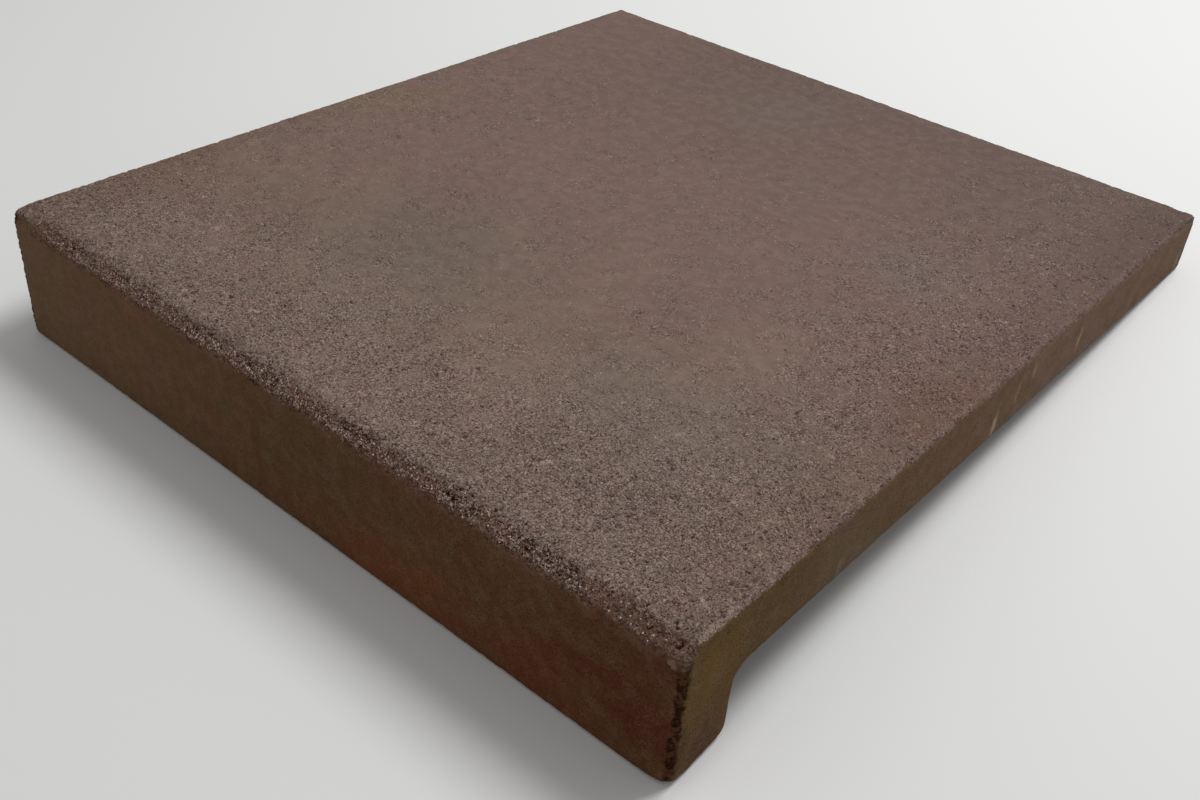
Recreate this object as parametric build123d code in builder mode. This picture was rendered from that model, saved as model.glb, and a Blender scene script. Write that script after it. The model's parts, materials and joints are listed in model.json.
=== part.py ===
from build123d import *
from math import asin, atan2, cos, degrees, hypot, radians, sin
import os

# Cast stone step: a flat tread slab with a nose that drops in front of the riser.
# One casting, stored as it lies by itself on a level floor: the toe of the nose and
# the slab's back bottom edge touch the floor, so the tread leans back a little.
# X runs along the nose, +Y to the back, +Z up. The origin is on the floor, in the
# middle of the step's width and depth.

# Driving dimensions, in millimetres
step_length = 450.0      # along the nose
step_depth = 500.0       # front of the nose to the back edge
slab_thickness = 36.0
nose_thickness = 37.0    # front to back
nose_drop = 40.0         # from the slab's underside down to the toe
toe_rise = 4.7           # the nose's bottom face climbs this much to its inner edge
worn_arris = 8.0         # broken front arris, down the nose and back along the tread

# Radii of the section's corners
toe_front_radius = 2.0
toe_back_radius = 5.0
rebate_radius = 9.0      # inner corner, between the nose and the slab's underside
back_bottom_radius = 2.5
back_top_radius = 2.0
arris_radius = 4.0
end_radius = 1.5         # softened edges all round the two end faces

overall_height = slab_thickness + nose_drop


def round_centre(corner, toward_a, toward_b, radius):
    """Centre of the round that blends a corner between its two straight sides."""
    side_a = (toward_a - corner).normalized()
    side_b = (toward_b - corner).normalized()
    half_angle = radians(side_a.get_angle(side_b)) / 2
    return corner + (side_a + side_b).normalized() * (radius / sin(half_angle))


def lean_over(front, front_radius, back, back_radius):
    """Angle of the floor line that touches two rounds from below, in degrees."""
    run, climb = back.X - front.X, back.Y - front.Y
    return degrees(atan2(climb, run) + asin((front_radius - back_radius) / hypot(run, climb)))


# Section through the step, level: X is the distance from the front of the nose and
# Y the height above the toe
toe_front = Vector(0, 0)
toe_back = Vector(nose_thickness, toe_rise)
rebate = Vector(nose_thickness, nose_drop)
back_bottom = Vector(step_depth, nose_drop)
back_top = Vector(step_depth, overall_height)
arris_top = Vector(worn_arris, overall_height)
arris_front = Vector(0, overall_height - worn_arris)

corners = [toe_front, toe_back, rebate, back_bottom, back_top, arris_top, arris_front]
radii = [
    toe_front_radius,
    toe_back_radius,
    rebate_radius,
    back_bottom_radius,
    back_top_radius,
    arris_radius,
    arris_radius,
]

with BuildSketch() as section:
    with BuildLine():
        FilletPolyline(*corners, radius=radii, close=True)
    make_face()

# The step leans back until the toe and the slab's back bottom edge both touch
toe_front_centre = round_centre(toe_front, arris_front, toe_back, toe_front_radius)
toe_back_centre = round_centre(toe_back, toe_front, rebate, toe_back_radius)
back_centre = round_centre(back_bottom, rebate, back_top, back_bottom_radius)
rest_lean = max(
    lean_over(toe_front_centre, toe_front_radius, back_centre, back_bottom_radius),
    lean_over(toe_back_centre, toe_back_radius, back_centre, back_bottom_radius),
)

# Where the leaning section stands: its lowest line on the floor, its depth centred
leaning = section.sketch.rotate(Axis.Z, -rest_lean).bounding_box()
section_plane = Plane(
    origin=(0, -leaning.center().X, -leaning.min.Y),
    x_dir=(0, cos(radians(rest_lean)), -sin(radians(rest_lean))),
    z_dir=(1, 0, 0),
)

with BuildPart() as step:
    with BuildSketch(section_plane):
        add(section.sketch)
    extrude(amount=step_length / 2, both=True)
    end_faces = step.faces().filter_by(Axis.X)
    fillet(end_faces.edges(), end_radius)

step.part.label = "step"
os.makedirs("parts", exist_ok=True)
export_step(step.part, "parts/step.step")
print(f"leans back {rest_lean:.2f} degrees, {overall_height:.0f} mm high when level")
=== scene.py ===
import bpy
import bmesh
import json
import math
from mathutils import Matrix, Vector


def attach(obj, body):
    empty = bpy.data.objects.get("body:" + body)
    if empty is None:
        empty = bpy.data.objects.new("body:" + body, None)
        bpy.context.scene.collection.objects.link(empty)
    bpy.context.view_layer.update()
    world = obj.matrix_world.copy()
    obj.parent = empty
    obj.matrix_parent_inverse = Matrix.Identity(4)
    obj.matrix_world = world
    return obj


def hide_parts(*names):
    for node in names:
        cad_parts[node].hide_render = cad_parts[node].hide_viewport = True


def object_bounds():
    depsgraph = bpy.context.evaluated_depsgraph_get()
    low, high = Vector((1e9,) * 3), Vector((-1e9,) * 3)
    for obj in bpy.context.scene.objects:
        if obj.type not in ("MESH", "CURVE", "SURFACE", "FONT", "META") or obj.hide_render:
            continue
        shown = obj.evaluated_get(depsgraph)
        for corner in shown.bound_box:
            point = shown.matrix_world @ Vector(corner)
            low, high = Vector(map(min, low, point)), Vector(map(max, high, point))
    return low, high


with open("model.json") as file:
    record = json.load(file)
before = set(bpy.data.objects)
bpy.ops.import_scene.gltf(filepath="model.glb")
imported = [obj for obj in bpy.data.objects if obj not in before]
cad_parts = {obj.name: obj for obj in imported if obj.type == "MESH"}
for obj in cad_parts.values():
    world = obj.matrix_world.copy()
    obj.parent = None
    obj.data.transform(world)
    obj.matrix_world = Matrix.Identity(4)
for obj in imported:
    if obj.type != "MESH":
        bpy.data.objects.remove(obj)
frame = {"nodes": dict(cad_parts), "record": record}
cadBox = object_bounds()
mm = 0.001

# The step is modelled level, with the tread face at z 0 and the front of the nose at y 0,
# and leaned back at the end to lie as the frame has it
mounts = {mount["name"]: mount for mount in frame["record"]["mounts"]}
upAxis = Vector(mounts["tread_face"]["axis"])
backAxis = Vector(mounts["back_face"]["axis"])


def heightOf(name):
    return Vector(mounts[name]["pos_m"]).dot(upAxis)


def depthOf(name):
    return Vector(mounts[name]["pos_m"]).dot(backAxis)


frontOfNose = min(v.co.dot(backAxis) for v in frame["nodes"]["step"].data.vertices)
levelOrigin = upAxis * heightOf("tread_face") + backAxis * frontOfNose
leanAngle = math.atan2(upAxis.y, upAxis.z)

stepSizes = {
    "length": cadBox[1][0] - cadBox[0][0],
    "depth": depthOf("back_face") - frontOfNose,
    "slab": heightOf("tread_face") - heightOf("bed_face"),
    "nose": depthOf("riser_face") - frontOfNose,
    "noseHeight": 76 * mm,
    "toeRise": 4.7 * mm,             # how much the nose's bottom climbs to its inner edge
    "arris": 8 * mm,
    "arrisTopRound": 4.5 * mm,
    "arrisFrontRound": 2 * mm,
    "toeFrontRound": 2 * mm,
    "toeBackRound": 4.8 * mm,
    "rebateRound": 9 * mm,
    "backBottomRound": 2.5 * mm,
    "backTopRound": 2 * mm,
    "endRound": 1.5 * mm,
    "voxel": 1.1 * mm,               # of the mesh that takes the relief
    "fineBand": (11 * mm, 12 * mm),  # how far back and down that mesh is finer for the broken arris
    "fineCorner": 5 * mm,            # and how far from the nose's two upright corners
    "triangles": 190000,
}


def only(obj):
    # everything else deselected, as the frame's own nodes come in selected
    bpy.ops.object.select_all(action="DESELECT")
    obj.select_set(True)
    bpy.context.view_layer.objects.active = obj


def pickEdges(obj, test):
    bpy.ops.mesh.select_mode(type="EDGE")
    bpy.ops.mesh.select_all(action="DESELECT")
    mesh = bmesh.from_edit_mesh(obj.data)
    for edge in mesh.edges:
        if test(edge.verts[0].co, edge.verts[1].co):
            edge.select_set(True)
    bmesh.update_edit_mesh(obj.data)


def pickFaces(obj, test):
    bpy.ops.mesh.select_mode(type="FACE")
    bpy.ops.mesh.select_all(action="DESELECT")
    mesh = bmesh.from_edit_mesh(obj.data)
    for face in mesh.faces:
        if test(face.calc_center_median(), face.normal):
            face.select_set(True)
    bmesh.update_edit_mesh(obj.data)


def near(a, b):
    return abs(a - b) < 0.05 * mm


def longEdge(y, z):
    # an edge that runs the length of the step at this place in its section
    def test(a, b):
        return near(a.y, y) and near(b.y, y) and near(a.z, z) and near(b.z, z) and not near(a.x, b.x)
    return test


def roundEdges(obj, test, radius, segments):
    pickEdges(obj, test)
    bpy.ops.mesh.bevel(offset=radius, segments=segments, affect="EDGES")


def blankStep(s):
    # slab first, then the nose drawn down from its front strip
    bpy.ops.mesh.primitive_cube_add(size=1, location=(0, s["depth"] / 2, -s["slab"] / 2))
    step = bpy.context.active_object
    step.name = "castStoneStep"
    step.scale = (s["length"], s["depth"], s["slab"])
    bpy.ops.object.transform_apply(location=True, rotation=False, scale=True)
    bpy.ops.object.mode_set(mode="EDIT")
    bpy.ops.mesh.select_all(action="SELECT")
    bpy.ops.mesh.bisect(plane_co=(0, s["nose"], 0), plane_no=(0, 1, 0))
    pickFaces(step, lambda c, n: n.z < -0.9 and c.y < s["nose"])
    bpy.ops.mesh.extrude_region_move(
        TRANSFORM_OT_translate={"value": (0, 0, s["slab"] - s["noseHeight"])})
    pickEdges(step, longEdge(s["nose"], -s["noseHeight"]))
    bpy.ops.transform.translate(value=(0, 0, s["toeRise"]))
    bpy.ops.mesh.select_all(action="SELECT")
    bpy.ops.mesh.remove_doubles(threshold=0.01 * mm)
    bpy.ops.mesh.dissolve_limited(angle_limit=math.radians(1))
    # the section's corners, the broken arris first as one flat bevel
    roundEdges(step, longEdge(0, 0), s["arris"], 1)
    roundEdges(step, longEdge(s["arris"], 0), s["arrisTopRound"], 5)
    roundEdges(step, longEdge(0, -s["arris"]), s["arrisFrontRound"], 3)
    roundEdges(step, longEdge(0, -s["noseHeight"]), s["toeFrontRound"], 3)
    roundEdges(step, longEdge(s["nose"], s["toeRise"] - s["noseHeight"]), s["toeBackRound"], 5)
    roundEdges(step, longEdge(s["nose"], -s["slab"]), s["rebateRound"], 8)
    roundEdges(step, longEdge(s["depth"], -s["slab"]), s["backBottomRound"], 3)
    roundEdges(step, longEdge(s["depth"], 0), s["backTopRound"], 3)
    roundEdges(step, lambda a, b: near(abs(a.x), s["length"] / 2) and near(a.x, b.x), s["endRound"], 2)
    bpy.ops.object.mode_set(mode="OBJECT")
    return step


def applied(obj, kind, name, **settings):
    modifier = obj.modifiers.new(name, kind)
    for key, value in settings.items():
        setattr(modifier, key, value)
    only(obj)
    bpy.ops.object.modifier_apply(modifier=name)


def feed(tree, value, socket):
    if isinstance(value, bpy.types.NodeSocket):
        tree.links.new(value, socket)
    else:
        socket.default_value = value


def put(tree, kind, sockets, **settings):
    node = tree.nodes.new(kind)
    for key, value in settings.items():
        setattr(node, key, value)
    for key, value in sockets.items():
        feed(tree, value, node.inputs[key])
    return node


def calc(tree, operation, *values):
    node = put(tree, "ShaderNodeMath", {}, operation=operation)
    for socket, value in zip(node.inputs, values):
        feed(tree, value, socket)
    return node.outputs[0]


def chain(tree, operation, total, *values):
    for value in values:
        total = calc(tree, operation, total, value)
    return total


def product(tree, *values):
    return chain(tree, "MULTIPLY", *values)


def axes(tree, vector):
    return put(tree, "ShaderNodeSeparateXYZ", {"Vector": vector}).outputs


def vectorCalc(tree, operation, sockets):
    # a distance, a length or a dot product comes out as a number, anything else as a vector
    node = put(tree, "ShaderNodeVectorMath", sockets, operation=operation)
    return node.outputs["Value" if operation in ("DISTANCE", "LENGTH", "DOT_PRODUCT") else "Vector"]


def ramp(tree, value, low, high, start=0.0, end=1.0):
    # start below low, end above high, and an eased change between them
    sockets = {"Value": value, "From Min": low, "From Max": high, "To Min": start, "To Max": end}
    return put(tree, "ShaderNodeMapRange", sockets, interpolation_type="SMOOTHSTEP").outputs[0]


def lumps(tree, where, size, detail=2.0, roughness=0.5):
    # smooth noise from 0 to 1 whose lumps are about this size
    sockets = {"Vector": where, "Scale": 1 / size, "Detail": detail, "Roughness": roughness}
    return put(tree, "ShaderNodeTexNoise", sockets).outputs[0]


def patches(tree, where, patch, detail=2.0, roughness=0.5):
    # patches of about this size, drawn out of the noise by a fade
    size, *fade = patch
    return ramp(tree, lumps(tree, where, size, detail, roughness), *fade)


def sway(tree, where, size, far, detail, roughness):
    # lumps that sway about 0, this far in all
    return calc(tree, "MULTIPLY_ADD", lumps(tree, where, size, detail, roughness), far, -far / 2)


def spot(tree, where, place, reach):
    # 1 round a place, fading to 0 at its reach
    away = vectorCalc(tree, "DISTANCE", {0: where, 1: place})
    return ramp(tree, away, 0.2 * reach, reach, 1.0, 0.0)


def thinLine(tree, value, level, wide):
    # 1 where a value passes a level, as a line this wide either side
    off = calc(tree, "ABSOLUTE", calc(tree, "SUBTRACT", value, level))
    return ramp(tree, off, 0.4 * wide, wide, 1.0, 0.0)


def pits(tree, where, cell, share, smallest, largest):
    # round hollows in a share of the cells, 1 in the middle of each and 0 outside
    cells = put(tree, "ShaderNodeTexVoronoi", {"Vector": where, "Scale": 1 / cell}, voronoi_dimensions="3D")
    own = axes(tree, cells.outputs["Color"])
    radius = calc(tree, "MULTIPLY_ADD", own[0], (largest - smallest) / cell, smallest / cell)
    bowl = ramp(tree, calc(tree, "DIVIDE", cells.outputs["Distance"], radius), 0.35, 1.0, 1.0, 0.0)
    return calc(tree, "MULTIPLY", bowl, calc(tree, "LESS_THAN", own[1], share))


# In the dictionaries below a fade is where it starts and ends, and what it goes from and to,
# which is 0 and 1 where it isn't given. Patches are their size and such a fade of the noise

arrisSizes = {
    # the broken band along the front arris, measured across it from its middle
    "top": 4.5 * mm,
    "foot": 8 * mm,
    "reach": 9 * mm,                 # how far back and down it comes at most
    "leftEnd": -205 * mm,
    # how its edges wander and fray: how far apart, and how far in all
    "wander": (9 * mm, 8 * mm),
    "fray": (2.5 * mm, 10 * mm),
    "topSway": 1.3,                  # times as far at its upper edge
    # its torn stretches, and how strong they are along it
    "torn": (28 * mm, 0.42, 0.56),
    "tornRightwards": (-90 * mm, 60 * mm, 0.8, 1.15),
    "tornRightEnd": (165 * mm, 195 * mm, 1.0, 0.25),
    "ragged": 2.6 * mm,              # the size of its cracks and holes
    "holes": (0.335, 0.075),         # how much of the band they take, and what a torn stretch adds
    "curls": (0.46, 0.025),          # at which level of the noise the cracks curl, and how wide
    "curlPatches": (4 * mm, 0.44, 0.54),
    "seam": (-1 * mm, 0.4 * mm),     # a crack along the upper edge: where, and how wide
    "seamPatches": (8 * mm, 0.5, 0.56),
}


def arrisMasks(tree, where, a):
    # both the relief and the colour take the band's ragged edges, torn stretches and cracks from here
    x, y, z = axes(tree, where)
    across = calc(tree, "ADD", y, z)
    wander = calc(tree, "ADD", sway(tree, where, *a["wander"], 3, 0.65),
                  sway(tree, where, *a["fray"], 3, 0.7))
    foot = chain(tree, "ADD", across, wander, a["foot"])
    top = calc(tree, "SUBTRACT", calc(tree, "MULTIPLY_ADD", wander, a["topSway"], across), a["top"])
    off = calc(tree, "MINIMUM", y, calc(tree, "MULTIPLY", z, -1))
    inside = product(tree, ramp(tree, off, a["reach"], a["reach"] + 2 * mm, 1.0, 0.0),
                     ramp(tree, x, a["leftEnd"] - 12 * mm, a["leftEnd"] + 8 * mm))
    torn = product(tree, patches(tree, where, a["torn"]), ramp(tree, x, *a["tornRightwards"]),
                   ramp(tree, x, a["leftEnd"], a["leftEnd"] + 30 * mm),
                   ramp(tree, x, *a["tornRightEnd"]))
    broken = product(tree, ramp(tree, foot, -0.7 * mm, 0.5 * mm), ramp(tree, top, -2 * mm, 2 * mm, 1.0, 0.0),
                     inside)

    # thin cracks curl about in the band, with small ragged holes, more of both near its upper edge
    nearTop = ramp(tree, calc(tree, "ABSOLUTE", calc(tree, "ADD", top, 2 * mm)), 1 * mm, 7 * mm, 1.0, 0.35)
    drawnOut = vectorCalc(tree, "MULTIPLY", {0: where, 1: (0.55, 1, 1)})
    ragged = lumps(tree, drawnOut, a["ragged"], 4, 0.72)
    share, added = a["holes"]
    share = calc(tree, "MULTIPLY_ADD", calc(tree, "MULTIPLY", nearTop, torn), added, share)
    holes = ramp(tree, calc(tree, "SUBTRACT", ragged, share), -0.015, 0.01, 1.0, 0.0)
    curls = product(tree, thinLine(tree, ragged, *a["curls"]), patches(tree, where, a["curlPatches"]),
                    nearTop)
    seam = product(tree, thinLine(tree, top, *a["seam"]), patches(tree, where, a["seamPatches"]))
    cracks = product(tree, chain(tree, "MAXIMUM", seam, holes, curls), inside,
                     calc(tree, "MULTIPLY_ADD", torn, 0.6, 0.4), ramp(tree, foot, -0.5 * mm, 0.3 * mm))
    return {"across": across, "foot": foot, "inside": inside, "torn": torn, "broken": broken,
            "cracks": cracks}


reliefSizes = {
    # lumps: how far apart, and how high in millimetres
    "swell": (110 * mm, 0.5),
    "sand": (5 * mm, 0.5),
    "grit": (2.4 * mm, 0.9),
    "castWave": (45 * mm, 0.3),
    "arrisLumps": (7 * mm, 1.5),
    "arrisGrit": (2.2 * mm, 1.5),
    "waver": (40 * mm, 1.4),         # of the edges
    "cornerCrumbs": (2.5 * mm, 2.4),
    # heights and depths in millimetres
    "pitDepth": 1.2,
    "crackDepth": 0.4,
    "skinStep": 0.25,                # how far the skin stands above the band
    "airHoleDepth": 1.0,
    "edgeChips": (7 * mm, 0.5, 0.66, 0.0, 2.0),
    "lowerEdges": (4 * mm, 9 * mm, 1.0, 0.2),    # how much of that the edges have further down
    "leftEndHeight": 1.6,            # how much fuller the arris is there
    "leftEnd": (-222 * mm, -195 * mm, 1.0, 0.0),
    # how coarse the tread is: fades along it, then a cloud's size and share, and the size of patches
    "frontStrip": (25 * mm, 145 * mm, 0.3, 0.01),
    "rightStrip": (60 * mm, 200 * mm, 0.0, 0.15),
    "leftStrip": (190 * mm, 235 * mm, 0.0, 0.06),
    "backStrip": (280 * mm, 430 * mm, 0.0, -0.12),
    "cloud": (50 * mm, 0.35),
    "patchSize": 13 * mm,
    "coarse": (0.4, 0.75),           # from smooth to coarse
    "coarsest": (0.62, 0.85, 0.0, 0.5),
    # ragged pits: their size, how much of the tread they take and what coarse sand adds, and the
    # same where they crowd: along the two sides, in patches and at a few places, which are given
    # along the nose and back from its front
    "pitSize": 2.6 * mm,
    "pitShare": (0.25, 0.085),
    "crowdedShare": (0.24, 0.13),
    "rightPits": (170 * mm, 210 * mm, 0.0, 0.9),
    "leftPits": (-222 * mm, -208 * mm, 0.7, 0.0),
    "pitPatches": (22 * mm, 0.58, 0.66, 0.0, 0.6),
    "pitted": [(-70, 280), (20, 267), (-37, 220), (-92, 440), (120, 60), (-140, 45)],
    "pittedReach": 16 * mm,
    "airHoles": (22 * mm, 0.4, 0.5 * mm, 1.3 * mm),    # cell, share, smallest and largest
    # the nose's two upright corners, how they fray, and the bottom corner that is knocked off
    "cornerWidth": 3.2 * mm,
    "cornerFray": (4.5 * mm, 8 * mm),
    "bluntRadius": 5.5 * mm,
}


def raised(tree, where, lump, detail=2.0, roughness=0.5):
    # lumps that stand just proud of the solid's own surface
    size, high = lump
    return product(tree, calc(tree, "SUBTRACT", lumps(tree, where, size, detail, roughness), 0.58), high)


def mix(tree, mask, under, over):
    return calc(tree, "MULTIPLY_ADD", mask, calc(tree, "SUBTRACT", over, under), under)


def convexEdges(tree, where, normal):
    # they stand out from their own surroundings
    blurred = put(tree, "GeometryNodeBlurAttribute", {"Iterations": 4}, data_type="FLOAT_VECTOR")
    tree.links.new(where, [i for i in blurred.inputs if i.enabled and i.type == "VECTOR"][0])
    around = [o for o in blurred.outputs if o.enabled][0]
    outward = vectorCalc(tree, "SUBTRACT", {0: where, 1: around})
    proud = vectorCalc(tree, "DOT_PRODUCT", {0: outward, 1: normal})
    return ramp(tree, proud, 0.05 * mm, 0.4 * mm)


def treadRelief(tree, where, r):
    # coarse along the front and the right, smoother in the middle and the back
    x, y = axes(tree, where)[:2]
    toLeft = calc(tree, "MULTIPLY_ADD", y, 0.3, calc(tree, "ABSOLUTE", x))
    level = chain(tree, "ADD", ramp(tree, y, *r["frontStrip"]), ramp(tree, x, *r["rightStrip"]),
                  ramp(tree, toLeft, *r["leftStrip"]), ramp(tree, y, *r["backStrip"]))
    size, share = r["cloud"]
    cloud = calc(tree, "SUBTRACT", lumps(tree, where, size, 2), 0.5)
    level = calc(tree, "MULTIPLY_ADD", cloud, share, level)
    coarse = calc(tree, "ADD", lumps(tree, where, r["patchSize"], 3, 0.65), level)
    coarse = calc(tree, "ADD", ramp(tree, coarse, *r["coarse"]), ramp(tree, coarse, *r["coarsest"]))

    spots = [spot(tree, where, (px * mm, py * mm, 0), r["pittedReach"]) for px, py in r["pitted"]]
    crowded = chain(tree, "MAXIMUM", patches(tree, where, r["pitPatches"]), *spots,
                    ramp(tree, x, *r["rightPits"]), ramp(tree, x, *r["leftPits"]))
    fewest, added = r["pitShare"]
    fewestCrowded, addedCrowded = r["crowdedShare"]
    share = calc(tree, "MAXIMUM", calc(tree, "MULTIPLY_ADD", coarse, added, fewest),
                 calc(tree, "MULTIPLY_ADD", crowded, addedCrowded, fewestCrowded))
    ragged = lumps(tree, where, r["pitSize"], 3, 0.6)
    pitted = ramp(tree, calc(tree, "SUBTRACT", ragged, share), -0.05, 0.02, 1.0, 0.0)

    height = calc(tree, "ADD", raised(tree, where, r["swell"], 1), raised(tree, where, r["sand"], 3, 0.6))
    grit = raised(tree, where, r["grit"], 2, 0.6)
    height = calc(tree, "MULTIPLY_ADD", grit, calc(tree, "ADD", coarse, 0.2), height)
    return calc(tree, "MULTIPLY_ADD", pitted, -r["pitDepth"], height), coarse, pitted


def bluntCorner(tree, where, corner, radius):
    # what pulls the nose's right bottom corner in to a ball of this radius
    outside = vectorCalc(tree, "SUBTRACT", {0: where, 1: corner + Vector((-1, 1, 1)) * radius})
    right, back, up = axes(tree, outside)
    outside = put(tree, "ShaderNodeCombineXYZ", {0: calc(tree, "MAXIMUM", right, 0),
                                                 1: calc(tree, "MINIMUM", back, 0),
                                                 2: calc(tree, "MINIMUM", up, 0)}).outputs[0]
    away = calc(tree, "DIVIDE", vectorCalc(tree, "LENGTH", {0: outside}), radius)
    excess = calc(tree, "MAXIMUM", calc(tree, "SUBTRACT", away, 1), 0)
    pull = product(tree, calc(tree, "DIVIDE", excess, calc(tree, "ADD", excess, 1)), -1,
                   spot(tree, where, corner, 2.5 * radius))
    return vectorCalc(tree, "SCALE", {0: outside, "Scale": pull})


def stoneRelief(r, s):
    # moves each point in or out along its normal, by an amount in millimetres
    tree = bpy.data.node_groups.new("stoneRelief", "GeometryNodeTree")
    tree.interface.new_socket("Geometry", in_out="INPUT", socket_type="NodeSocketGeometry")
    tree.interface.new_socket("Geometry", in_out="OUTPUT", socket_type="NodeSocketGeometry")
    shape = put(tree, "NodeGroupInput", {}).outputs[0]
    where = put(tree, "GeometryNodeInputPosition", {}).outputs[0]
    normal = put(tree, "GeometryNodeInputNormal", {}).outputs[0]
    x, y, z = axes(tree, where)
    facing = axes(tree, normal)
    drop = calc(tree, "MULTIPLY", z, -1)
    edge = convexEdges(tree, where, normal)

    tread = calc(tree, "MULTIPLY", ramp(tree, drop, 0.5 * mm, 3 * mm, 1.0, 0.0),
                 ramp(tree, facing[2], 0.5, 0.9))
    treadHeight, coarse, pitted = treadRelief(tree, where, r)

    # the broken front arris, which stops at the end faces
    arris = arrisMasks(tree, where, arrisSizes)
    band = calc(tree, "MULTIPLY", arris["broken"],
                ramp(tree, calc(tree, "ABSOLUTE", facing[0]), 0.5, 0.85, 1.0, 0.0))
    bandHeight = calc(tree, "ADD", raised(tree, where, r["arrisLumps"], 3, 0.6),
                      raised(tree, where, r["arrisGrit"], 2, 0.6))
    leftEnd = product(tree, ramp(tree, x, *r["leftEnd"]),
                      ramp(tree, calc(tree, "ABSOLUTE", arris["across"]), 0, 9 * mm, 1.0, 0.0))

    # the two upright corners of the nose, ragged where the casting's skin broke away
    aside = calc(tree, "SUBTRACT", s["length"] / 2, calc(tree, "ABSOLUTE", x))
    toCorner = calc(tree, "ADD", calc(tree, "MAXIMUM", aside, y),
                    sway(tree, where, *r["cornerFray"], 3, 0.7))
    corner = ramp(tree, toCorner, r["cornerWidth"] - 0.5 * mm, r["cornerWidth"] + 0.5 * mm, 1.0, 0.0)
    size, high = r["cornerCrumbs"]
    cornerHeight = product(tree, calc(tree, "SUBTRACT", lumps(tree, where, size, 2, 0.6), 0.8), high)

    # the smooth cast faces, with a slow wave and a few air holes
    height = calc(tree, "MULTIPLY_ADD", pits(tree, where, *r["airHoles"]), -r["airHoleDepth"],
                  raised(tree, where, r["castWave"], 2))
    height = mix(tree, tread, height, treadHeight)
    # the edges round the tread are chipped and a little wavy, the lower ones only rubbed
    chips = calc(tree, "SUBTRACT", patches(tree, where, r["edgeChips"], 3, 0.65),
                 raised(tree, where, r["waver"], 1))
    chips = product(tree, chips, edge, ramp(tree, drop, *r["lowerEdges"]))
    height = mix(tree, corner, calc(tree, "SUBTRACT", height, chips), cornerHeight)
    height = mix(tree, band, height, calc(tree, "SUBTRACT", bandHeight, r["skinStep"]))
    height = calc(tree, "MULTIPLY_ADD", arris["cracks"], -r["crackDepth"], height)
    height = calc(tree, "MULTIPLY_ADD", leftEnd, r["leftEndHeight"], height)
    moved = vectorCalc(tree, "SCALE", {0: normal, "Scale": calc(tree, "MULTIPLY", height, mm)})
    pulled = bluntCorner(tree, where, Vector((s["length"] / 2, 0, -s["noseHeight"])), r["bluntRadius"])
    moved = vectorCalc(tree, "ADD", {0: moved, 1: pulled})

    # masks that the colours take from the mesh
    masks = {"pitted": calc(tree, "MULTIPLY", pitted, tread), "coarse": coarse, "ragged": corner}
    for name, value in masks.items():
        stored = put(tree, "GeometryNodeStoreNamedAttribute", {"Geometry": shape, "Name": name},
                     data_type="FLOAT", domain="POINT")
        tree.links.new(value, [i for i in stored.inputs if i.enabled and i.name == "Value"][0])
        shape = stored.outputs[0]
    shape = put(tree, "GeometryNodeSetPosition", {"Geometry": shape, "Offset": moved}).outputs[0]
    put(tree, "NodeGroupOutput", {0: shape})
    return tree


def refine(obj, test):
    # the faces that carry the finest relief are cut in four
    only(obj)
    bpy.ops.object.mode_set(mode="EDIT")
    pickFaces(obj, test)
    bpy.ops.mesh.subdivide(number_cuts=1)
    bpy.ops.object.mode_set(mode="OBJECT")


def nearBrokenEdges(c, n):
    back, down = stepSizes["fineBand"]
    corner = stepSizes["fineCorner"]
    return c.y < back and c.z > -down or c.y < corner and abs(c.x) > stepSizes["length"] / 2 - corner


def triangleCount(obj):
    return sum(len(p.vertices) - 2 for p in obj.data.polygons)


print("step: blank")
bpy.ops.object.select_all(action="DESELECT")
step = blankStep(stepSizes)
applied(step, "REMESH", "stoneMesh", mode="VOXEL", voxel_size=stepSizes["voxel"])
refine(step, nearBrokenEdges)
print("step: relief on", len(step.data.polygons), "faces")
applied(step, "NODES", "relief", node_group=stoneRelief(reliefSizes, stepSizes))
print("step: thinning", triangleCount(step), "triangles")
applied(step, "DECIMATE", "fewer", ratio=stepSizes["triangles"] / triangleCount(step))
print("step: thinned to", triangleCount(step), "triangles")

# leaned back onto the toe and the back bottom edge
step.matrix_world = Matrix.Translation(levelOrigin) @ Matrix.Rotation(-leanAngle, 4, "X")
only(step)
bpy.ops.object.transform_apply(location=True, rotation=True, scale=True)
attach(step, "root")
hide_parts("step")


def paint(red, green, blue):
    # a screen colour, 0 to 255, as the linear one that the shaders take
    return tuple(((c / 255 + 0.055) / 1.055) ** 2.4 for c in (red, green, blue)) + (1,)


def blend(tree, amount, under, over):
    return put(tree, "ShaderNodeMix", {0: amount, 6: under, 7: over}, data_type="RGBA").outputs[2]


def newGroup(name, inputs, outputs):
    # a shader node group with named sockets: its tree, its inputs by name and its output node
    tree = bpy.data.node_groups.new(name, "ShaderNodeTree")
    for label, kind in inputs.items():
        tree.interface.new_socket(label, in_out="INPUT", socket_type="NodeSocket" + kind)
    for label, kind in outputs.items():
        tree.interface.new_socket(label, in_out="OUTPUT", socket_type="NodeSocket" + kind)
    start = put(tree, "NodeGroupInput", {})
    return tree, start.outputs, put(tree, "NodeGroupOutput", {})


def placed(tree, group, sockets):
    return put(tree, "ShaderNodeGroup", sockets, node_tree=group).outputs


def kept(tree, name):
    # one of the masks that the relief stored on the mesh
    return put(tree, "ShaderNodeAttribute", {}, attribute_name=name).outputs["Fac"]


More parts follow.
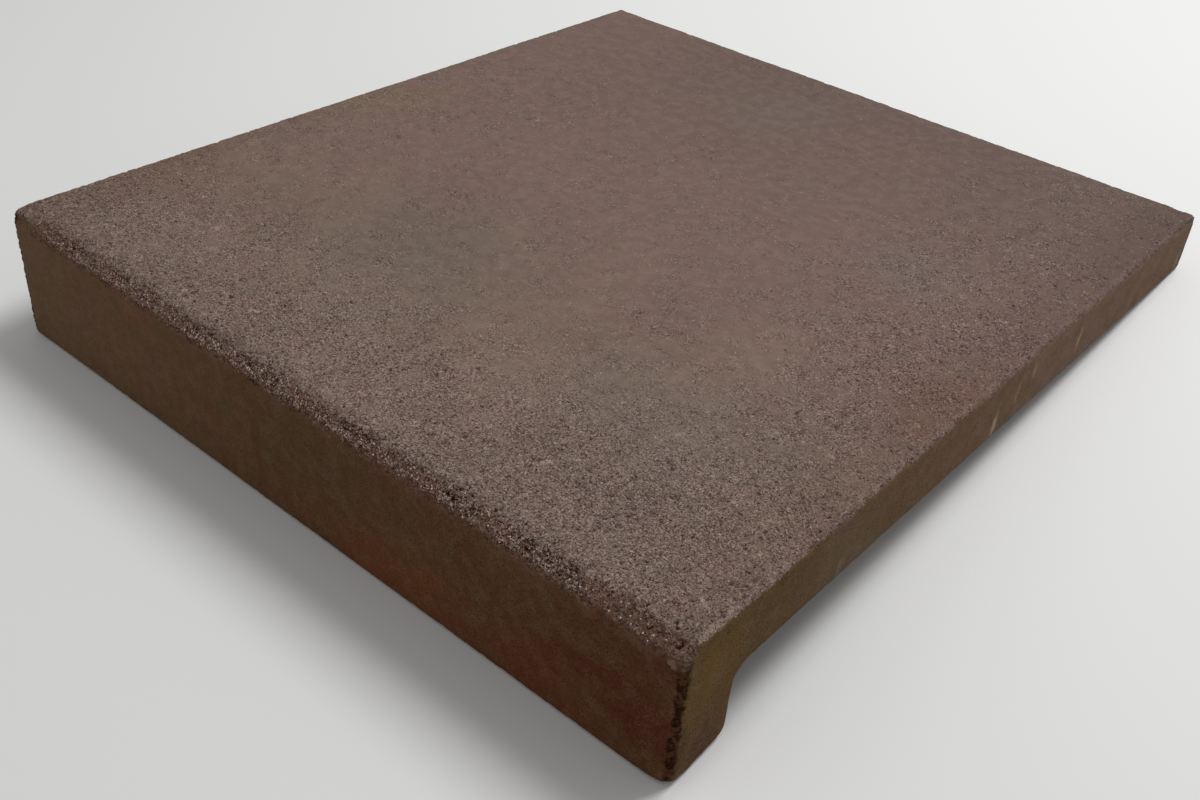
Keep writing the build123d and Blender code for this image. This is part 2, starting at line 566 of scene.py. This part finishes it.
sandLooks = {
    "grain": 0.9 * mm,
    # the pale of bare grains, also used for painted highlights on the rims of the gaps and along the right
    # edge
    "paleGrainAndHighlight": paint(214, 192, 182),
    "brightGrain": paint(240, 222, 206),
    # the dark of dark grains, also used for painted shade in the gaps, pits and cracks
    "darkGrainAndShade": paint(46, 7, 0),
    # crinkled gaps between the grains, darkened as painted shade, and their lit rims, painted as highlights,
    # which curl about over a few grains: at which level of the noise, and how wide
    "curl": 2.4,
    "gaps": (0.48, 0.029),
    "rims": (0.535, 0.03),
    "gapShade": -1.05,               # below 0 is darker
    "rimShade": 0.1,
    "fineShade": 1.2,                # how much paler or darker the fine noise makes the sand
    "ownShade": 0.25,                # and how much each grain is by itself
    "bend": 1.2,                     # how far the cells of the grains are bent, in grains
}


def sandGrainGroup(g):
    # sand in a paste: how much paler or darker it is here, a number drawn for each grain to pick
    # pale and dark ones by, the domes of the grains and the bumps that they make
    tree, given, result = newGroup(
        "sandGrain", {"Where": "Vector", "Grain": "Float"},
        {"Variation": "Float", "Pale Draw": "Float", "Dark Draw": "Float", "Dome": "Float",
         "Height": "Float"})
    perMetre = calc(tree, "DIVIDE", 1.0, given["Grain"])
    fine = put(tree, "ShaderNodeTexNoise", {"Vector": given["Where"], "Scale": perMetre, "Detail": 2.0,
                                            "Roughness": 0.7}).outputs
    curlScale = calc(tree, "DIVIDE", perMetre, g["curl"])
    curls = put(tree, "ShaderNodeTexNoise", {"Vector": given["Where"], "Scale": curlScale, "Detail": 3.0,
                                             "Roughness": 0.6, "Distortion": 1.2}).outputs["Fac"]
    gaps = calc(tree, "MULTIPLY", thinLine(tree, curls, *g["gaps"]),
                ramp(tree, fine["Fac"], 0.42, 0.54, 1.0, 0.2))
    rims = thinLine(tree, curls, *g["rims"])
    far = calc(tree, "MULTIPLY", given["Grain"], g["bend"])
    bent = vectorCalc(tree, "ADD", {0: given["Where"],
                                    1: vectorCalc(tree, "SCALE", {0: fine["Color"], "Scale": far})})
    cells = put(tree, "ShaderNodeTexVoronoi", {"Vector": bent, "Scale": perMetre}, voronoi_dimensions="3D")
    own = axes(tree, cells.outputs["Color"])
    dome = ramp(tree, cells.outputs["Distance"], 0.2, 0.55, 1.0, 0.0)
    spread = calc(tree, "MULTIPLY_ADD", calc(tree, "SUBTRACT", own[0], 0.5), g["ownShade"],
                  calc(tree, "MULTIPLY", calc(tree, "SUBTRACT", fine["Fac"], 0.5), g["fineShade"]))
    # the crinkle is painted shade in the gaps between the grains and painted highlights on their rims
    crinkle = calc(tree, "MULTIPLY_ADD", gaps, g["gapShade"], calc(tree, "MULTIPLY", rims, g["rimShade"]))
    height = calc(tree, "MULTIPLY_ADD", dome, calc(tree, "MULTIPLY_ADD", own[0], 0.4, 0.1), fine["Fac"])
    feed(tree, calc(tree, "ADD", spread, crinkle), result.inputs["Variation"])
    feed(tree, own[1], result.inputs["Pale Draw"])
    feed(tree, own[2], result.inputs["Dark Draw"])
    feed(tree, dome, result.inputs["Dome"])
    feed(tree, calc(tree, "MULTIPLY_ADD", crinkle, 0.6, height), result.inputs["Height"])
    return tree


def grains(tree, sand, draw, share):
    # the domes of this share of the grains
    return calc(tree, "MULTIPLY", calc(tree, "LESS_THAN", sand[draw], share), sand["Dome"])


def varied(tree, sand, contrast):
    # how pale or dark the sand is here, about 1
    return calc(tree, "MULTIPLY_ADD", sand["Variation"], contrast, 1.0)


def shaded(tree, colour, shade, darkGrainAndShade, bare):
    # darker than 1 turns to the colour of dark grains and of the painted shade in the gaps, lighter than 1
    # to that of a bare grain and of the painted highlights on its rims
    darker = calc(tree, "MAXIMUM", calc(tree, "SUBTRACT", 1.0, shade), 0.0)
    lighter = calc(tree, "MAXIMUM", calc(tree, "SUBTRACT", shade, 1.0), 0.0)
    return blend(tree, lighter, blend(tree, darker, colour, darkGrainAndShade), bare)


def stainGroup():
    # a soft patch of another tint round a place on a face, made uneven by a cloud
    tree, given, result = newGroup(
        "stain", {"Where": "Vector", "Place": "Vector", "Reach": "Float", "Cloud": "Float"},
        {"Mask": "Float"})
    away = vectorCalc(tree, "DISTANCE", {0: given["Where"], 1: given["Place"]})
    share = calc(tree, "ADD", calc(tree, "DIVIDE", away, given["Reach"]), given["Cloud"])
    feed(tree, ramp(tree, share, 0.2, 1.0, 1.0, 0.0), result.inputs["Mask"])
    return tree


def stained(tree, colour, where, stain, stains, cloudSize):
    # each stain: its place and reach in millimetres, its tint and how strong it is
    cloud = sway(tree, where, cloudSize, 2.0, 3, 0.6)
    for place, reach, tint, strength in stains:
        mask = placed(tree, stain, {"Where": where, "Place": tuple(p * mm for p in place),
                                    "Reach": reach * mm, "Cloud": cloud})["Mask"]
        colour = blend(tree, calc(tree, "MULTIPLY", mask, strength), colour, tint)
    return colour


def streaked(tree, colour, where, stain, stains, tall, cloudSize):
    # stains that are so many times as tall as they are wide
    squeezed = vectorCalc(tree, "MULTIPLY", {0: where, 1: (1, 1, 1 / tall)})
    stains = [((x, y, z / tall), reach, tint, strength) for (x, y, z), reach, tint, strength in stains]
    return stained(tree, colour, squeezed, stain, stains, cloudSize)


treadLooks = {
    "paste": paint(120, 101, 90),
    "pasteWarm": paint(113, 95, 84),
    "pasteMiddle": paint(114, 92, 87),
    "pasteGreen": paint(110, 99, 84),
    "pasteRosy": paint(122, 96, 89),
    "pasteBack": paint(98, 83, 76),
    "clouds": 55 * mm,               # the sizes of two noises that the tints take
    "tints": 18 * mm,
    # how strong each tint is, by those noises or by its place
    "warm": (0.38, 0.62),
    "middle": (200 * mm, 340 * mm, 0.0, 0.6),
    "green": (0.5, 0.6, 0.0, 0.22),
    "rosy": (0.4, 0.5, 0.22, 0.0),
    "toBack": (230 * mm, 500 * mm, 0.0, 0.8),
    "backRightwards": (-220 * mm, -40 * mm, 0.4, 1.1),
    "blotches": (7 * mm, 0.62, 0.68, 0.0, 0.14),
    "mottle": (8 * mm, 0.4, 0.6, 0.985, 1.035),
    # a little paler along the front, and darker towards the right edge and at the left end of the front
    "front": (60 * mm, 130 * mm, 1.035, 1.0),
    "rightEdge": (180 * mm, 222 * mm, 1.0, 0.92),
    "leftEdge": (-215 * mm, -150 * mm, 0.93, 1.0),
    # a painted highlight along the right edge, paler in places, less towards the back
    "edgeHighlight": (220.5 * mm, 223.5 * mm, 0.0, 0.12),
    "edgeHighlightBack": (50 * mm, 300 * mm, 1.0, 0.3),
    "edgeHighlightPlaces": (0.42, 0.55),
    # the first of each two is for smooth sand, and coarse sand adds the second
    "contrast": (0.04, 0.7),
    "paleGrains": (0.006, 0.02),
    "bump": (0.12, 0.38),
    "darkGrains": 0.065,
    # the darkness of the pits is painted shade, that of the dark grains their own colour
    "darkness": 0.85,                # of the dark grains and pits
    "whiteGrains": ((-185 * mm, 47 * mm, 0), 18 * mm),    # where more of them are pale, and its reach
    "stains": [
        ((-50, 125, 0), 85, paint(103, 94, 84), 0.5),
        ((135, 105, 0), 70, paint(108, 101, 92), 0.35),
        ((140, 310, 0), 45, paint(110, 103, 97), 0.3),
        ((-30, 430, 0), 60, paint(106, 98, 88), 0.3),
        ((212, 205, 0), 50, paint(116, 84, 70), 0.4),
        ((-218, 85, 0), 50, paint(110, 84, 72), 0.4),
        ((-222, 240, 0), 60, paint(116, 102, 78), 0.4),
        ((50, 430, 0), 60, paint(112, 88, 82), 0.35),
        ((208, 440, 0), 50, paint(100, 82, 72), 0.2),
        ((110, 30, 0), 60, paint(104, 88, 79), 0.5),
        ((168, 50, 0), 45, paint(98, 82, 74), 0.45),
    ],
    "stainClouds": 35 * mm,
}


def treadColour(tree, where, sand, stain, t, g):
    x, y = axes(tree, where)[:2]
    cloudy = lumps(tree, where, t["clouds"], 3, 0.6)
    colour = blend(tree, ramp(tree, cloudy, *t["warm"]), t["paste"], t["pasteWarm"])
    middle = ramp(tree, calc(tree, "MULTIPLY_ADD", cloudy, 0.2, y), *t["middle"])
    colour = blend(tree, middle, colour, t["pasteMiddle"])
    tints = lumps(tree, where, t["tints"], 3, 0.6)
    colour = blend(tree, ramp(tree, tints, *t["green"]), colour, t["pasteGreen"])
    colour = blend(tree, ramp(tree, tints, *t["rosy"]), colour, t["pasteRosy"])
    toBack = calc(tree, "MULTIPLY", ramp(tree, y, *t["toBack"]), ramp(tree, x, *t["backRightwards"]))
    colour = blend(tree, toBack, colour, t["pasteBack"])
    colour = stained(tree, colour, where, stain, t["stains"], t["stainClouds"])
    coarse = kept(tree, "coarse")
    blotches = calc(tree, "MULTIPLY", patches(tree, where, t["blotches"], 3, 0.6), coarse)
    colour = blend(tree, blotches, colour, g["paleGrainAndHighlight"])

    smooth, added = t["contrast"]
    toLeft = calc(tree, "MULTIPLY_ADD", y, 0.3, x)
    shade = product(tree, varied(tree, sand, calc(tree, "MULTIPLY_ADD", coarse, added, smooth)),
                    patches(tree, where, t["mottle"], 4, 0.65),
                    ramp(tree, y, *t["front"]), ramp(tree, x, *t["rightEdge"]),
                    ramp(tree, toLeft, *t["leftEdge"]))
    colour = shaded(tree, colour, shade, g["darkGrainAndShade"], g["paleGrainAndHighlight"])

    smooth, added = t["paleGrains"]
    white = spot(tree, where, *t["whiteGrains"])
    pale = grains(tree, sand, "Pale Draw", product(tree, calc(tree, "MULTIPLY_ADD", coarse, added, smooth),
                                                   calc(tree, "MULTIPLY_ADD", white, 2.0, 1.0)))
    colour = blend(tree, calc(tree, "MULTIPLY", pale, calc(tree, "MULTIPLY_ADD", white, 0.5, 0.45)), colour,
                   g["paleGrainAndHighlight"])
    # painted highlight along the right edge of the tread
    edgeHighlight = product(tree, ramp(tree, x, *t["edgeHighlight"]), ramp(tree, y, *t["edgeHighlightBack"]),
                     ramp(tree, tints, *t["edgeHighlightPlaces"]))
    colour = blend(tree, edgeHighlight, colour, g["paleGrainAndHighlight"])
    dark = grains(tree, sand, "Dark Draw", calc(tree, "MULTIPLY", coarse, t["darkGrains"]))
    # the pits are painted dark as the shade in them
    dark = calc(tree, "MULTIPLY", calc(tree, "MAXIMUM", dark, kept(tree, "pitted")), t["darkness"])
    smooth, added = t["bump"]
    height = calc(tree, "MULTIPLY", calc(tree, "MULTIPLY_ADD", dark, -0.6, sand["Height"]),
                  calc(tree, "MULTIPLY_ADD", coarse, added, smooth))
    return blend(tree, dark, colour, g["darkGrainAndShade"]), height


arrisLooks = {
    "paste": paint(122, 91, 75),
    "green": paint(118, 99, 79),
    "skin": paint(106, 78, 64),
    "greenPatches": (20 * mm, 0.48, 0.6, 0.0, 0.6),
    "contrast": 3.1,
    # calmer towards its ends and along its foot, where some of the nose's skin still clings
    "calmFoot": (0, 4 * mm, 0.35, 1.0),
    "calmLeft": (-215 * mm, -140 * mm, 0.65, 1.0),
    "calmRight": (165 * mm, 195 * mm, 1.0, 0.5),
    "skinAtFoot": (-0.5 * mm, 3 * mm, 0.75, 0.0),
    "brightGrains": 0.1,
    "darkGrains": 0.14,
    "darkness": 0.93,
    "bump": 1.2,
    # a small crater near the right end: its middle, then the radius and width of its rim
    "crater": (217 * mm, 4.6 * mm, -3.4 * mm),
    "craterRim": (1.9 * mm, 0.6 * mm),
    "craterSide": (215.5 * mm, 217.5 * mm),      # the rim shows only on the right
}


def arrisColour(tree, where, arris, sand, b, g):
    x = axes(tree, where)[0]
    colour = blend(tree, patches(tree, where, b["greenPatches"], 3), b["paste"], b["green"])
    calm = product(tree, ramp(tree, arris["foot"], *b["calmFoot"]), ramp(tree, x, *b["calmLeft"]),
                   ramp(tree, x, *b["calmRight"]))
    torn = calc(tree, "MULTIPLY", calc(tree, "MULTIPLY_ADD", arris["torn"], 0.45, 0.55), calm)
    shade = varied(tree, sand, calc(tree, "MULTIPLY", torn, b["contrast"]))
    colour = shaded(tree, colour, shade, g["darkGrainAndShade"], g["paleGrainAndHighlight"])
    bright = grains(tree, sand, "Pale Draw", calc(tree, "MULTIPLY", calm, b["brightGrains"]))
    colour = blend(tree, bright, colour, g["brightGrain"])
    colour = blend(tree, ramp(tree, arris["foot"], *b["skinAtFoot"]), colour, b["skin"])
    away = vectorCalc(tree, "DISTANCE", {0: where, 1: b["crater"]})
    rim = calc(tree, "MULTIPLY", thinLine(tree, away, *b["craterRim"]), ramp(tree, x, *b["craterSide"]))
    dark = grains(tree, sand, "Dark Draw", calc(tree, "MULTIPLY", torn, b["darkGrains"]))
    # the cracks, holes and the crater's rim are painted dark as the shade in them; the dark grains have
    # their own colour
    dark = calc(tree, "MULTIPLY", chain(tree, "MAXIMUM", dark, arris["cracks"], rim), b["darkness"])
    return blend(tree, dark, colour, g["darkGrainAndShade"]), calc(tree, "MULTIPLY", sand["Height"], b["bump"])


# the cast faces are painted warmer than the tread: partly the tint of their own skin, partly painted warm
# light bounced up onto them
faceLooks = {
    # the nose's front
    "noseLeft": paint(124, 97, 74),
    "noseRight": paint(104, 70, 44),
    "noseOlive": paint(113, 93, 62),
    "noseRosy": paint(123, 86, 71),
    "rightwards": (-160 * mm, 200 * mm),
    "noseClouds": 30 * mm,
    "noseTints": 24 * mm,
    "olive": (0.5, 0.62, 0.0, 0.35),
    "rosy": (0.38, 0.5, 0.3, 0.0),
    "noseStains": [
        ((70, 0, -68), 75, paint(125, 75, 45), 0.75),
        ((150, 0, -70), 70, paint(115, 62, 38), 0.6),
        ((215, 0, -45), 60, paint(95, 47, 32), 0.85),
        ((-112, 0, -15), 20, paint(131, 85, 69), 0.5),
        ((20, 0, -25), 90, paint(99, 81, 57), 0.5),
        ((218, 0, -12), 65, paint(96, 55, 37), 0.75),
    ],
    "noseStainClouds": 35 * mm,
    "flatter": 2.2,                  # its stains are so many times as long as they are high
    # the end faces, painted paler towards the back: partly their own tint, partly painted light that falls
    # more on the far end
    "endNear": paint(102, 77, 45),
    "endFar": paint(131, 104, 88),
    "endOlive": paint(109, 90, 60),
    "backwards": (60 * mm, 420 * mm),
    "olivePatches": (16 * mm, 0.4, 0.6, 0.0, 0.35),
    "endStainsAndShade": [
        ((225, 18, -25), 28, paint(120, 93, 46), 0.8),
        # this one is painted shade low on the nose's end, near the floor
        ((225, 22, -66), 28, paint(96, 66, 49), 0.7),
        ((225, 330, -20), 60, paint(134, 107, 94), 0.5),
        ((225, 110, -30), 40, paint(122, 104, 88), 0.5),
    ],
    "endStainClouds": 18 * mm,
    # pale streaks of lime that ran down the end face
    "streaks": [
        ((225, 249, -27), 3.5, paint(190, 172, 142), 0.85),
        ((225, 270, -18), 2.5, paint(178, 160, 128), 0.5),
        ((225, 286, -12), 3.0, paint(170, 156, 130), 0.5),
        ((225, 343, -18), 3.0, paint(190, 170, 140), 0.75),
        ((225, 417, -28), 2.5, paint(170, 156, 140), 0.4),
        ((225, 490, -26), 3.5, paint(178, 164, 148), 0.5),
        ((225, 109, -29), 3.0, paint(160, 146, 122), 0.4),
    ],
    "streakClouds": 1.7 * mm,
    "streakLength": 2.8,             # times as long as it is wide
    # all the cast faces
    "lip": paint(152, 128, 110),
    "cornerPaste": paint(92, 58, 34),
    "cornerDark": paint(46, 19, 5),
    "contrast": (-150 * mm, 180 * mm, 0.42, 0.64),
    "lessOnNose": 0.14,
    "mottle": (9 * mm, 0.35, 0.65, 0.9, 1.1),
    "darkGrains": (0.008, 0.5),      # their share, and how strong they are
    "paleGrains": (0.01, 0.4),
    "rust": (3 * mm, 0.47, 0.55),    # on the frayed corners
    # under the band the nose's skin is rosy in places, and here and there ends in a paler lip, a painted
    # highlight where light catches its edge
    "rosyUnderBand": (-7 * mm, -1 * mm, 0.0, 0.6),
    "rosyPatches": (14 * mm, 0.44, 0.56),
    "lipHighlight": (-0.5 * mm, 0.8 * mm),
    "lipHighlightPatches": (6 * mm, 0.5, 0.6, 0.0, 0.5),
    "bump": 0.25,
}


def faceColour(tree, where, arris, sand, stain, f):
    x, y = axes(tree, where)[:2]
    cloudy = lumps(tree, where, f["noseClouds"], 4, 0.6)
    along = ramp(tree, calc(tree, "MULTIPLY_ADD", cloudy, 0.2, x), *f["rightwards"])
    nose = blend(tree, along, f["noseLeft"], f["noseRight"])
    tints = lumps(tree, where, f["noseTints"], 3, 0.6)
    nose = blend(tree, ramp(tree, tints, *f["olive"]), nose, f["noseOlive"])
    nose = blend(tree, ramp(tree, tints, *f["rosy"]), nose, f["noseRosy"])
    nose = streaked(tree, nose, where, stain, f["noseStains"], 1 / f["flatter"], f["noseStainClouds"])

    back = ramp(tree, calc(tree, "MULTIPLY_ADD", cloudy, 0.08, y), *f["backwards"])
    end = blend(tree, back, f["endNear"], f["endFar"])
    end = stained(tree, end, where, stain, f["endStainsAndShade"], f["endStainClouds"])
    end = streaked(tree, end, where, stain, f["streaks"], f["streakLength"], f["streakClouds"])
    end = blend(tree, patches(tree, where, f["olivePatches"], 3, 0.6), end, f["endOlive"])
    onNose = ramp(tree, y, 0.5 * mm, 2.5 * mm, 1.0, 0.0)
    colour = blend(tree, onNose, end, nose)

    contrast = calc(tree, "MULTIPLY_ADD", onNose, -f["lessOnNose"], ramp(tree, x, *f["contrast"]))
    shade = calc(tree, "MULTIPLY", varied(tree, sand, contrast), patches(tree, where, f["mottle"], 4, 0.7))
    colour = shaded(tree, colour, shade, f["cornerDark"], f["lip"])
    share, strength = f["darkGrains"]
    dark = calc(tree, "MULTIPLY", grains(tree, sand, "Dark Draw", share), strength)
    share, strength = f["paleGrains"]
    pale = calc(tree, "MULTIPLY", grains(tree, sand, "Pale Draw", share), strength)
    colour = blend(tree, pale, blend(tree, dark, colour, f["cornerDark"]), f["lip"])
    rust = blend(tree, patches(tree, where, f["rust"], 4, 0.7), f["cornerDark"], f["cornerPaste"])
    colour = blend(tree, kept(tree, "ragged"), colour, rust)

    rosy = product(tree, ramp(tree, arris["foot"], *f["rosyUnderBand"]), onNose,
                   patches(tree, where, f["rosyPatches"], 3))
    colour = blend(tree, rosy, colour, f["noseRosy"])
    # painted highlight along the lip where the skin ends under the band
    lipHighlight = product(tree, thinLine(tree, arris["foot"], *f["lipHighlight"]), arris["inside"],
                   patches(tree, where, f["lipHighlightPatches"], 3))
    return blend(tree, lipHighlight, colour, f["lip"]), calc(tree, "MULTIPLY", sand["Height"], f["bump"])


stoneLooks = {
    "overEdge": (6 * mm, 9 * mm, 2.9 * mm),      # how unevenly and how far the sandy top runs over its edges
    "paleChip": (218.6 * mm, 0, -9.6 * mm),      # beside the front right corner
    "chipReach": 4 * mm,
    "bumpHeight": 0.6 * mm,
    "roughness": 0.88,
    "specular": 0.1,
}


def stoneMaterial(m, s):
    stone = bpy.data.materials.new("castStone")
    stone.use_nodes = True
    tree = stone.node_tree
    shader = tree.nodes["Principled BSDF"]
    # back to the level step, with the tread face at z 0 and the front of the nose at y 0
    here = put(tree, "ShaderNodeTexCoord", {}).outputs["Object"]
    sockets = {"Vector": here, "Location": levelOrigin, "Rotation": (-leanAngle, 0, 0)}
    where = put(tree, "ShaderNodeMapping", sockets, vector_type="TEXTURE").outputs[0]
    x, y, z = axes(tree, where)
    # the sandy top, which runs over its edges by an uneven millimetre or two, but not at the front
    aside = calc(tree, "SUBTRACT", s["length"] / 2, calc(tree, "ABSOLUTE", x))
    inward = calc(tree, "MINIMUM", aside, calc(tree, "SUBTRACT", s["depth"], y))
    size, far, short = m["overEdge"]
    over = calc(tree, "MULTIPLY_ADD", lumps(tree, where, size, 3, 0.7), far, -short)
    sandy = calc(tree, "MULTIPLY", ramp(tree, chain(tree, "ADD", inward, z, over), -0.3 * mm, 0.3 * mm),
                 ramp(tree, calc(tree, "ADD", y, z), -2 * mm, -1 * mm))
    arris = arrisMasks(tree, where, arrisSizes)
    broken = calc(tree, "MULTIPLY", arris["broken"], ramp(tree, aside, 0.2 * mm, 0.8 * mm))

    stain = stainGroup()
    sand = placed(tree, sandGrainGroup(sandLooks), {"Where": where, "Grain": sandLooks["grain"]})
    tread, treadHeight = treadColour(tree, where, sand, stain, treadLooks, sandLooks)
    band, bandHeight = arrisColour(tree, where, arris, sand, arrisLooks, sandLooks)
    face, faceHeight = faceColour(tree, where, arris, sand, stain, faceLooks)
    colour = blend(tree, broken, blend(tree, sandy, face, tread), band)
    chip = calc(tree, "MULTIPLY", spot(tree, where, m["paleChip"], m["chipReach"]),
                lumps(tree, where, 2.5 * mm, 3))
    colour = blend(tree, ramp(tree, chip, 0.25, 0.36, 0.0, 0.6), colour, faceLooks["lip"])
    feed(tree, colour, shader.inputs["Base Color"])
    bumps = put(tree, "ShaderNodeMix", {0: sandy, 2: faceHeight, 3: treadHeight}).outputs[0]
    bumps = put(tree, "ShaderNodeMix", {0: broken, 2: bumps, 3: bandHeight}).outputs[0]
    bump = put(tree, "ShaderNodeBump", {"Height": bumps, "Distance": m["bumpHeight"], "Strength": 1.0})
    feed(tree, bump.outputs[0], shader.inputs["Normal"])
    shader.inputs["Roughness"].default_value = m["roughness"]
    shader.inputs["Specular IOR Level"].default_value = m["specular"]
    return stone


step.data.materials.clear()
step.data.materials.append(stoneMaterial(stoneLooks, stepSizes))
only(step)
bpy.ops.object.shade_smooth()
print("step: material")

cameraAt = {
    "place": (395.7 * mm, -502.6 * mm, 436 * mm),
    "turn": (51.165, -1.165, 40.86),   # degrees
    "lens": 39.58,
}


def photoCamera(c):
    bpy.ops.object.camera_add(location=c["place"], rotation=[math.radians(angle) for angle in c["turn"]])
    camera = bpy.context.active_object
    camera.data.lens = c["lens"]
    camera.data.clip_start = 0.01
    bpy.context.scene.camera = camera


studio = {
    "floorSize": 6.0,
    "floorColour": (0.74, 0.74, 0.73, 1),
    "floorBounce": (0.4, 0.4, 0.39, 1),
    "worldColour": (1, 1, 1, 1),
    "worldStrength": 0.4,
    "backdrop": 0.7,                 # how bright the same world looks behind the floor
    "lampPlace": (0.4, 0.95, 1.8),
    "lampSize": 0.8,
    "lampPower": 31,
}


def studioFloor(c):
    bpy.ops.mesh.primitive_plane_add(size=c["floorSize"], location=(0, 0, 0))
    floor = bpy.context.active_object
    floor.name = "floor"
    floorPaint = bpy.data.materials.new("floorPaint")
    floorPaint.use_nodes = True
    tree = floorPaint.node_tree
    tree.nodes.clear()
    seen = put(tree, "ShaderNodeBsdfDiffuse", {"Color": c["floorColour"]})
    bounce = put(tree, "ShaderNodeBsdfDiffuse", {"Color": c["floorBounce"]})
    ray = put(tree, "ShaderNodeLightPath", {}).outputs
    direct = chain(tree, "MAXIMUM", ray["Is Camera Ray"], ray["Is Glossy Ray"], ray["Is Transmission Ray"])
    mixed = put(tree, "ShaderNodeMixShader", {0: direct, 1: bounce.outputs[0], 2: seen.outputs[0]})
    put(tree, "ShaderNodeOutputMaterial", {0: mixed.outputs[0]})
    floor.data.materials.append(floorPaint)


def studioLamp(c):
    bpy.ops.object.light_add(type="AREA", location=c["lampPlace"])
    lamp = bpy.context.active_object
    lamp.name = "key"
    lamp.data.size = c["lampSize"]
    lamp.data.energy = c["lampPower"]
    lamp.rotation_euler = (-Vector(c["lampPlace"])).to_track_quat("-Z", "Y").to_euler()


def studioWorld(c):
    world = bpy.data.worlds.new("studio")
    world.use_nodes = True
    tree = world.node_tree
    background = tree.nodes["Background"]
    background.inputs["Color"].default_value = c["worldColour"]
    seen = put(tree, "ShaderNodeLightPath", {}).outputs["Is Camera Ray"]
    strength = calc(tree, "MULTIPLY_ADD", seen, c["backdrop"] - c["worldStrength"], c["worldStrength"])
    feed(tree, strength, background.inputs["Strength"])
    bpy.context.scene.world = world


photoCamera(cameraAt)
studioFloor(studio)
studioWorld(studio)
studioLamp(studio)
bpy.context.scene.view_settings.view_transform = "Standard"
print("studio: floor, world, lamp and camera")
